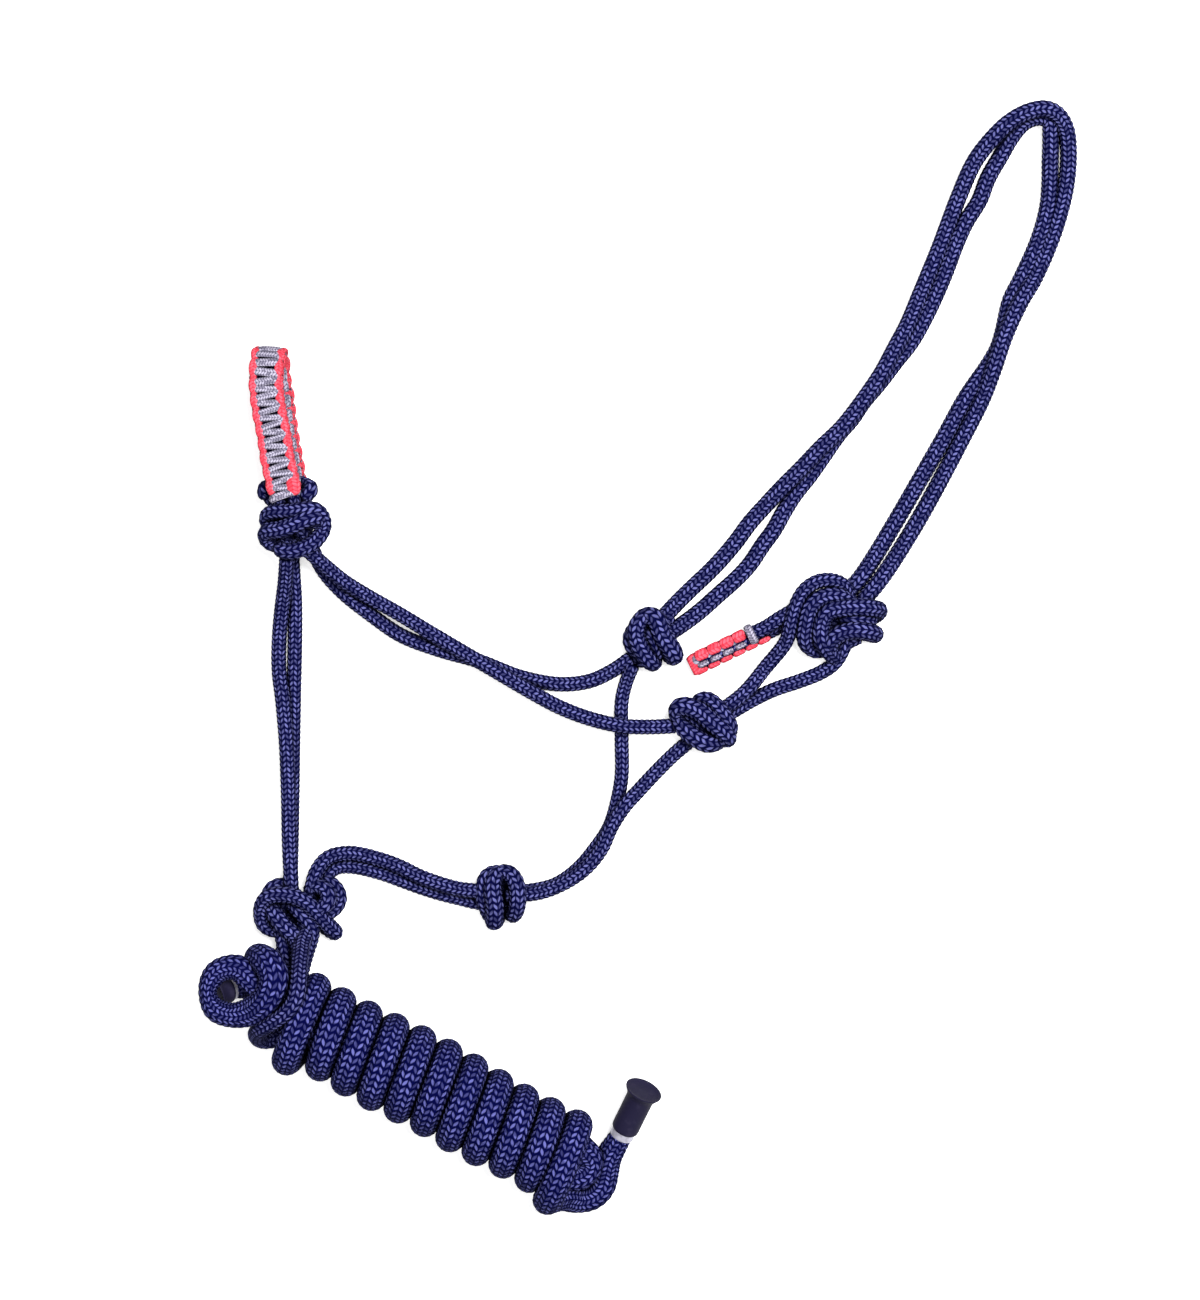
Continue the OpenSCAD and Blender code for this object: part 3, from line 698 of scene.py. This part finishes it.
# The wraps of rope in each knot, each with the rope's diameter and then its route
KNOTS = {
    "nose_knot_near": [
        (7.6, [
            (-175, 35.5, 26), (-170, 40.5, 24), (-173.5, 43, 20), (-180.5, 44, 18.5),
            (-188, 43, 19), (-192.5, 40.5, 22), (-190.5, 37, 23),
        ]),
        (7.7, [
            (-180, 14, 22), (-189.5, 23, 25), (-190.5, 27.5, 28), (-186, 29.5, 32.5),
            (-179, 29.5, 35), (-172, 30.5, 35.5), (-167, 30.5, 34), (-164, 27, 31),
            (-163.5, 22.5, 29), (-166, 17.5, 29.5), (-170.5, 13.5, 31), (-177.5, 11, 32),
            (-183.5, 11.5, 30), (-184.5, 14.5, 25),
        ]),
        (8.2, [
            (-180, 14, 24), (-188.5, 15, 25.5), (-191, 18, 28), (-189.5, 20.5, 32),
            (-184, 21, 35.5), (-177.5, 23, 37.5), (-171, 26, 37.5), (-166.5, 27, 34),
            (-166, 24, 28),
        ]),
        (7.4, [
            (-169.5, 14.5, 22), (-175, 22, 26), (-182, 27, 28), (-184.5, 31.5, 28),
            (-183.5, 37.5, 27),
        ]),
    ],
    "nose_knot_far": [
        (7.4, [
            (-181.5, 29, 10), (-192, 39.5, 10), (-189, 41.5, 13), (-182, 42.5, 12),
            (-177, 42.5, 12), (-174.5, 39, 10), (-177.5, 34, 4.5), (-184.5, 30.5, 4),
            (-191.5, 29, 6), (-192, 27.5, 11), (-187.5, 26.5, 15), (-180.5, 27, 16),
            (-174, 29, 15), (-171, 29.5, 10), (-174.5, 23, 4.5), (-184, 19.5, 4.5), (-188, 18, 8),
            (-185, 17, 13), (-178.5, 18, 15), (-176.5, 21.5, 11),
        ]),
    ],
    "cheek_knot_far": [
        (8.6, [
            (-4.5, -23.5, 8), (-8, -21, 12), (-12, -21.5, 15), (-14.5, -25.5, 16.5),
            (-14.5, -30.5, 17), (-12, -36, 16.5), (-8.5, -41, 14), (-6, -42, 9), (-8, -38.5, 5),
        ]),
        (9.6, [
            (-13.5, -24.5, 8), (-10.5, -20.5, 12.5), (-7.5, -20, 15.5), (-4.5, -22, 17.5),
            (-3, -26.5, 18), (-0.5, -31.5, 17.5), (2.5, -36, 15.5), (3.5, -39, 11), (1, -37, 6),
        ]),
        (8.2, [
            (-14.5, -35, 8), (-10.5, -28.5, 12), (-7.5, -28.5, 13.5), (-5.5, -33, 13),
            (-3.5, -39, 9),
        ]),
        (7.4, [
            (-16.5, -37, 5), (-12, -33.5, 8), (-7, -28.5, 10), (-2, -23.5, 9), (2, -19.5, 6),
        ]),
        (7.4, [
            (-18.5, -38.5, 5), (-10.5, -41, 5), (-4, -36, 6), (-1, -29, 6),
        ]),
        (7.4, [
            (-12, -22.5, 8), (-15.5, -26, 9.5), (-17.5, -30, 10.5), (-16.5, -34.5, 9.5),
            (-12.5, -37.5, 7),
        ]),
    ],
    "cheek_knot_near": [
        (9.2, [
            (14.5, -70.5, 7), (8.5, -70.5, 10), (5.5, -67, 12), (6, -63.5, 15), (9.5, -63, 17),
            (15.5, -65.5, 18), (21.5, -70.5, 18), (27, -75, 16), (29.5, -78.5, 12), (27, -77.5, 7),
        ]),
        (9.2, [
            (11.5, -68, 7), (7, -70.5, 11), (9, -74, 15), (13, -77.5, 17), (18.5, -80.5, 16.5),
            (22.5, -80.5, 13), (25, -78.5, 8), (20, -75.5, 5),
        ]),
        (8, [
            (6.5, -66, 9), (11.5, -68.5, 12.5), (17, -73, 13), (23, -77.5, 11), (26, -79.5, 8),
        ]),
        (7.8, [
            (17, -68, 7), (15.5, -63, 9), (16.5, -60, 12.5), (20.5, -60, 14.5), (24, -63, 16),
            (27.5, -67.5, 16.5), (30, -71.5, 15), (30.5, -75, 11), (27, -74.5, 6),
        ]),
        (7.4, [
            (11.5, -79.5, 5), (17, -73.5, 8), (23.5, -68, 9), (29.5, -63, 8),
        ]),
        (7.4, [
            (6.5, -73, 6), (12.5, -73, 8), (19, -71.5, 10), (25, -68, 9),
        ]),
    ],
    "throat_knot": [
        (8.6, [
            (-78, -149, 8), (-80.5, -143.5, 12), (-83, -146, 16), (-83.5, -151, 18),
            (-82.5, -157, 18), (-82.5, -162.5, 16), (-83, -167, 11), (-81.5, -164, 6),
        ]),
        (7.6, [
            (-78.5, -144, 10), (-82.5, -143, 12.5), (-86.5, -145, 13.5), (-88, -150, 13.5),
            (-88, -155, 12.5), (-86.5, -160.5, 10), (-84.5, -165, 7),
        ]),
        (8.2, [
            (-81, -146.5, 10), (-80, -143.5, 13), (-76, -143, 15), (-73, -146, 17),
            (-71.5, -150.5, 18), (-71.5, -156.5, 17), (-72.5, -161.5, 13.5), (-74.5, -163.5, 8),
            (-76.5, -159, 5),
        ]),
        (7.4, [
            (-90, -155.5, 7), (-84, -153, 8), (-77.5, -151.5, 8), (-70.5, -153, 8),
        ]),
        (7.4, [
            (-89, -151.5, 6), (-82, -155.5, 7), (-76.5, -156.5, 7), (-70.5, -156, 6),
        ]),
    ],
    "fiador_knot": [
        (7.6, [
            (-184, -171, 6), (-189, -171, 8), (-193.5, -168.5, 10), (-195, -163.5, 12),
            (-194, -158, 15), (-190.5, -154, 18), (-184.5, -153, 20), (-178, -154, 20.5),
            (-171.5, -157.5, 20), (-167, -162.5, 18), (-163, -167.5, 14.5), (-160, -171, 11),
            (-159.5, -172.5, 8), (-163.5, -170.5, 5), (-171, -164, 5),
        ]),
        (8.2, [
            (-194, -159, 8), (-190, -160, 13), (-187, -164, 16.5), (-183, -169, 17.5),
            (-178.5, -173, 16.5), (-176.5, -179, 16), (-176, -184.5, 18),
        ]),
        (7.6, [
            (-176.5, -168, 12), (-170, -166.5, 15), (-164, -163, 13), (-159, -159.5, 11),
            (-157.5, -155, 10), (-160, -150, 10), (-165, -147.5, 9.5), (-171, -150, 8),
        ]),
        (7.8, [
            (-176, -162, 14), (-170, -161, 17), (-164.5, -159, 18.5), (-162, -155.5, 18.5),
            (-163.5, -151, 17), (-168, -150, 14.5), (-172.5, -153, 11),
        ]),
        (7.4, [
            (-178, -155.5, 7), (-184, -149.5, 8.5), (-188.5, -150, 9), (-191.5, -153, 9),
            (-190, -157.5, 7),
        ]),
        (7.8, [
            (-180, -158.5, 12), (-174.5, -163, 16), (-170.5, -168.5, 15), (-171, -174.5, 13),
            (-173, -180.5, 11), (-175, -187, 9), (-176.5, -193, 8),
        ]),
        (7.8, [
            (-188.5, -165, 8), (-185.5, -170.5, 11), (-184, -176.5, 12), (-183, -183, 12),
            (-182, -190, 10),
        ]),
        (7.6, [
            (-178.5, -171, 8), (-177, -178, 8), (-177, -185.5, 7), (-177.5, -193, 6),
        ]),
        (7.6, [
            (-195, -162.5, 6), (-186.5, -160.5, 8), (-176.5, -159, 9), (-168, -157.5, 8),
            (-161.5, -155, 7),
        ]),
        (7.6, [
            (-193, -167.5, 6), (-184.5, -165, 8), (-175.5, -167, 9), (-168, -165.5, 7),
        ]),
    ],
    "crown_bend": [
        (8.4, [
            (80, -32.5, 6), (73.5, -36, 7), (68.5, -34, 10), (66.5, -30, 14), (67, -23, 17),
            (69, -15.5, 18.5), (74, -11, 18.5), (80.5, -10, 17.5), (86.5, -12.5, 14),
            (91, -17.5, 10),
        ]),
        (8.4, [
            (82, -40, 7), (77, -35.5, 13), (74, -30, 17), (74.5, -22, 18.5), (77.5, -17.5, 19.5),
            (84.5, -16, 20), (92, -15.5, 20), (98.5, -16, 16.5), (102.5, -17, 10.5),
            (100, -19.5, 5), (92.5, -20.5, 4.5),
        ]),
        (8.6, [
            (77.5, -36, 12), (80, -30, 16.5), (86, -27, 18), (92.5, -26.5, 18), (98, -27.5, 15),
            (100.5, -28.5, 10), (97, -27.5, 5), (89, -26.5, 4.5),
        ]),
        (7.6, [
            (84, -20.5, 14), (89, -21, 16.5), (94.5, -21.5, 15), (99, -22, 10),
        ]),
        (7.6, [
            (68.5, -34, 5), (73, -30, 7), (80, -22.5, 8), (88.5, -17.5, 8),
        ]),
        (7.6, [
            (80, -36, 5), (86.5, -32.5, 6), (93.5, -29, 6),
        ]),
        (7.6, [
            (62, -29, 7), (68, -25.5, 9), (75, -25.5, 10),
        ]),
    ],
}

# What bends between two bodies: the bodies, and in metres where the bend begins and ends
CROWN_LIFT = ("halter", "crown", (0.0165, -0.011, 0.004), (0.0134, 0.0026, 0.004))
TAIL_LIFT = ("halter", "tie_tail", (0.0525, -0.0235, 0.008), (0.0416, -0.0285, 0.008))
LEAD_SWING = ("halter", "lead", (-0.177, -0.1705, 0.014), (-0.177, -0.1835, 0.014))


def make_strands():
    for name, route in STRANDS.items():
        rope(name, route, "halter", [name], THIN_D if name == "throat_far" else ROPE_D)
    crown = ["crown_strand_outer", "crown_stubs"]
    rope("crown_outer", CROWN_OUTER, None, crown, CROWN_D, swing=CROWN_LIFT)
    rope("crown_inner", CROWN_INNER, None, ["crown_strand_inner"], CROWN_D, swing=CROWN_LIFT)
    rope("tail_upper", TAIL_UPPER, None, ["tail_strands", "tail_stubs"], swing=TAIL_LIFT)
    rope("tail_lower", TAIL_LOWER, None, (), swing=TAIL_LIFT)
    rope("tie_loop", TIE_LOOP, "halter", ["tie_strand_upper", "tie_strand_lower"])
    loop = ["fiador_loop", "fiador_neck"]
    rope("fiador_loop", FIADOR_LOOP, None, loop, LOOP_D, swing=LEAD_SWING)


def make_knots():
    for node, wraps in KNOTS.items():
        for k, (diameter, route) in enumerate(wraps):
            name = f"{node}_wrap_{k}"
            rope(name, route, "halter", [node] if k == 0 else (), diameter, soften=8)


# ---------------------------------------------------------------- braided bars
# How far apart the points of a bar's middle line are
BAR_STEP = 0.5


class Bar:
    """A flat bar of two cords knotted round a core, along a line with its front turned up.
    A knot takes one pitch, the cords cross half the bar's width each way, and front, back and
    edge are how far its faces and edges lie from its middle line."""

    def __init__(self, line, up, pitch, half, front, back, edge):
        self.line = spline(line, BAR_STEP, 4)
        self.normals, self.sides = frames(self.line, up)
        self.length = BAR_STEP * (len(self.line) - 1)
        self.pitch, self.half, self.front, self.back, self.edge = pitch, half, front, back, edge

    def between(self, values, s):
        """Values at a distance s along the bar, from those at the points of its line."""
        i = np.clip(s / BAR_STEP, 0, len(self.line) - 1)
        k = np.arange(len(self.line))
        return np.stack([np.interp(i, k, values[:, c]) for c in range(3)], -1)

    def at(self, s, u, n):
        """The place a distance s along the bar, u to its side and n to its front."""
        side = np.asarray(u)[..., None] * self.between(self.sides, s)
        return self.between(self.line, s) + side + np.asarray(n)[..., None] * self.between(self.normals, s)

    def normal(self, s):
        i = int(np.clip(round(float(s) / BAR_STEP), 0, len(self.line) - 1))
        return self.normals[i]

    def rung(self, s, lean, face, wide, thick):
        """A cord that leans across the bar's front or back."""
        u = np.linspace(-self.half, self.half, 25)
        top = self.front if face > 0 else self.back
        n = face * (top - thick - 0.45 * top * np.abs(u / self.half) ** 5)
        return cord(self.at(s + lean * u / self.half, u, n), wide, thick, face * self.normal(s))

    def lump(self, s, side, face, wide, thick, n0, reach=0.56):
        """A cord's short bulge along the bar's edge, where it holds the other cord down."""
        t = np.linspace(-reach, reach, 19)
        bulge = np.cos(np.pi * t)
        line = self.at(s + t * self.pitch, side * (self.edge - wide + 0.5 * bulge - 0.4),
                       face * (n0 + 1.6 * bulge - 0.6))
        w = wide * (0.7 + 0.3 * np.maximum(bulge, 0) ** 0.5)
        return cord(line, w, thick, face * self.normal(s))

    def wrap(self, s, side, lean, wide, thick):
        """A turn of cord round the bar's edge, from its front to its back."""
        t = np.linspace(-1, 1, 17)
        line = self.at(s + lean * t, side * (self.edge - 2.4 + 1.5 * np.cos(np.pi * t / 2)),
                       0.62 * self.front * t)
        return cord(line, wide, thick, side * self.sides[0])

    def pad(self, s, u, n, half, wide, thick):
        """A short stretch of cord along the bar, sunk at both ends."""
        t = np.linspace(-1, 1, 13)
        line = self.at(s + t * half, u, n - 0.9 * np.abs(t) ** 3)
        return cord(line, wide, thick, self.normal(s))


# The noseband's middle line, from its near leg round the fold to its far leg
BAND_NEAR = [
    (-181.0, 35.5, 31.5), (-182.6, 43.5, 30.0), (-185.2, 54, 28.2), (-187.0, 66, 27.4),
    (-189.4, 78, 27.2), (-190.6, 87, 27),
]
BAND_FAR = [(-188.4, 87, 7), (-187.4, 78, 7), (-185.8, 66, 7), (-183.6, 54, 7), (-182.0, 44, 7.2)]
BAND_FOLD, BAND_FOLD_R = (-190.9, 93.5, 17), 10
# Where along the band its fold lies, as a share of its length
FOLD_PLACE = 0.56
# How far along the band its first knot starts, and how much of its length holds no knot
BAND_FIRST, BAND_ENDS = 3.0, 4.0


def band_bar():
    x, y, z = BAND_FOLD
    turn = [k * math.pi / 6 for k in range(7)]
    fold = [(x + 0.4 * a, y + BAND_FOLD_R * math.sin(a), z + BAND_FOLD_R * math.cos(a)) for a in turn]
    line = BAND_NEAR + fold + BAND_FAR
    return Bar(line, (0, 0, 1), pitch=7.0, half=7.0, front=6.2, back=6.0, edge=8.1)


def noseband_cords(bar):
    """The tubes of the grey cord and of the coral cord, knot after knot along the band."""
    count = int((bar.length - BAND_ENDS) / bar.pitch)
    grey, coral = [], []
    for j in range(2 * count + 1):
        s = BAND_FIRST + (j + 0.5) * bar.pitch / 2
        lean = 0.75 if j % 2 else -0.75
        fold = math.exp(-((s / bar.length - FOLD_PLACE) * 7) ** 2)
        grey.append(bar.rung(s, 1.3 * lean * (1 - fold), 1, 1.6 + 1.0 * fold, 1.15))
        coral.append(bar.rung(s, -lean, -1, 1.8, 1.0))
    for k in range(count + 1):
        s = BAND_FIRST + (k + 0.5) * bar.pitch
        for side in (-1, 1):
            coral.append(bar.lump(s, side, 1, 2.15, 1.5, 3.7))
            grey.append(bar.lump(s + bar.pitch / 2, side, -1, 2.0, 1.3, 3.7, 0.4))
            coral.append(bar.wrap(s, side, 0.8, 1.7, 1.0))
            coral.append(bar.wrap(s + bar.pitch / 2, side, -0.8, 1.7, 1.0))
    # the cords' first tucks, against the nose knot
    grey.append(bar.rung(1.4, 0.9, 1, 2.0, 1.3))
    coral.append(bar.lump(4.6, 1, 1, 3.4, 1.9, 4.4))
    return grey, coral


def noseband_core(bar, number, u):
    """One of the two ropes inside the band, u to the side of its middle."""
    line = bar.at(np.linspace(0, bar.length, 60), u, 0)
    head = np.array([[-179.0 + u, 26, 29.0]])
    tail = np.array([[-180.0 + u, 34, 8.0]])
    line = spline(np.vstack([head, line[::3], tail]), ROPE_LAY / 4, 3)
    r = CORE_D / 2
    obj = tubes_piece(f"noseband_core_{number}", [tube(line, r, r, ROPE_COLUMNS, 4, 0.4)], "halter_rope")
    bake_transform(obj)
    return obj


def make_noseband():
    bar = band_bar()
    grey, coral = noseband_cords(bar)
    for name, tubes, slot, node in (
        ("noseband_grey", grey, "grey_cord", "noseband_grey_cord"),
        ("noseband_coral", coral, "coral_cord", "noseband_coral_cord"),
    ):
        obj = tubes_piece(name, tubes, slot)
        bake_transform(obj)
        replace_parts(obj, node)
    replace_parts(noseband_core(bar, 0, -3.3), "noseband_core")
    noseband_core(bar, 1, 3.3)


# The tail braid's middle line, from the crown bend to its tip
TAIL_LINE = [(47, -26.9, 7.6), (43.5, -28.6, 7.6), (34, -33.2, 7.2), (24, -38, 6.6), (13.0, -43.4, 6.0)]
# How many knots the tail braid has, and how far along it the first one lies
TAIL_KNOTS, TAIL_FIRST = 4, 11.9


def tail_tubes(bar):
    """The tubes of the grey cord and of the coral cord, seen from the braid's edge."""
    along = unit(np.subtract(TAIL_LINE[2], TAIL_LINE[1]))
    grey, coral = [], []
    for s in (1.8, 8.5):
        coral.append(bar.pad(s, -3.9, 0.6, 2.4, 1.7, 2.2))
    for k in range(TAIL_KNOTS):
        s = TAIL_FIRST + k * bar.pitch
        coral.append(bar.pad(s, 2.9, 2.4, 2.5, 2.9, 2.6))
        coral.append(bar.pad(s + 3.3, -3.9, 0.6, 2.4, 1.7, 2.2))
        coral.append(bar.pad(s, -1.8, -2.8, 2.7, 2.9, 1.6))
        coral.append(bar.pad(s + 3.3, 3.2, -2.6, 2.7, 2.2, 1.6))
        grey.append(bar.pad(s + 1.2, -1.5, 3.3, 2.3, 1.3, 1.5))
        grey.append(bar.pad(s + 3.35, 1.6, 1.8, 1.0, 2.6, 2.0))
    # the coral cord closes the tip, and a ring of grey cord binds the braid's start
    end = bar.length - 1.6
    tip = [bar.at(end, 5.0 * a, 1.0 - 0.8 * a * a) for a in np.linspace(-1, 1, 9)]
    coral.append(cord(np.array(tip), 1.9, 3.4, along, 0.05))
    angles = np.linspace(0, 2 * np.pi, 41)
    ring = [bar.at(6.3, 4.4 * np.cos(a) + 1.2, 5.6 * np.sin(a) + 0.4) for a in angles]
    grey.append(cord(np.array(ring), 0.9, 2.0, along))
    return grey, coral


def make_tail_braid():
    bar = Bar(TAIL_LINE, (0, 0, 1), pitch=6.7, half=3.4, front=4.9, back=4.6, edge=5.3)
    grey, coral = tail_tubes(bar)
    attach(tubes_piece("tail_grey", grey, "grey_cord"), "tie_tail")
    obj = tubes_piece("tail_coral", coral, "coral_cord")
    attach(obj, "tie_tail")
    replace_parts(obj, "tail_braid")
    core = spline(TAIL_LINE[1:-1] + [(16, -41.9, 6.2)], ROPE_LAY / 4)
    obj = tubes_piece("tail_core", [tube(core, 3.6, 3.4, ROPE_COLUMNS, 4, 0.3)], "halter_rope")
    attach(obj, "tie_tail")


make_camera()
make_lead()
make_stage()
make_strands()
make_knots()
make_noseband()
make_tail_braid()
